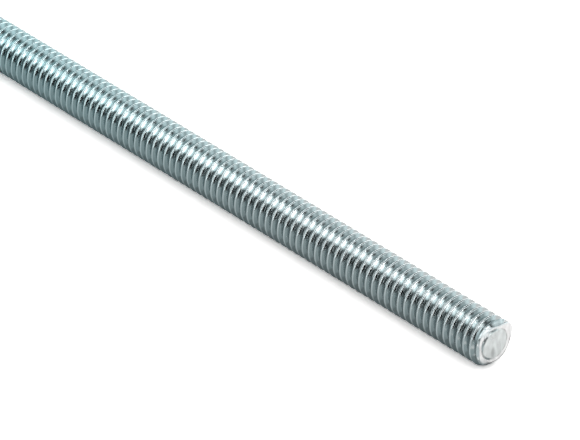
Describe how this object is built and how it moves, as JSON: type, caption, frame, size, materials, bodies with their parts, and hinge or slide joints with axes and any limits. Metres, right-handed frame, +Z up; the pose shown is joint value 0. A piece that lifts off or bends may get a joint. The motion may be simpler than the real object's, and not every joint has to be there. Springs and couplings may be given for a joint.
{
  "type": "threaded rod",
  "caption": "Straight zinc-plated steel rod with a fine right-hand metric thread along its whole length and a chamfered, square-cut end at each side.",
  "frame": {"origin": "middle of the rod's length, on its axis", "axes": "+X along the rod's axis, +Z up as it lies"},
  "size_m": [0.1, 0.0058, 0.0058],
  "materials": {
    "zinc_plated_steel": "bright zinc plating, smooth on the flanks and crests, with bare saw marks on the cut faces"
  },
  "bodies": {
    "root": {"threaded_rod": "zinc_plated_steel"}
  },
  "joints": []
}
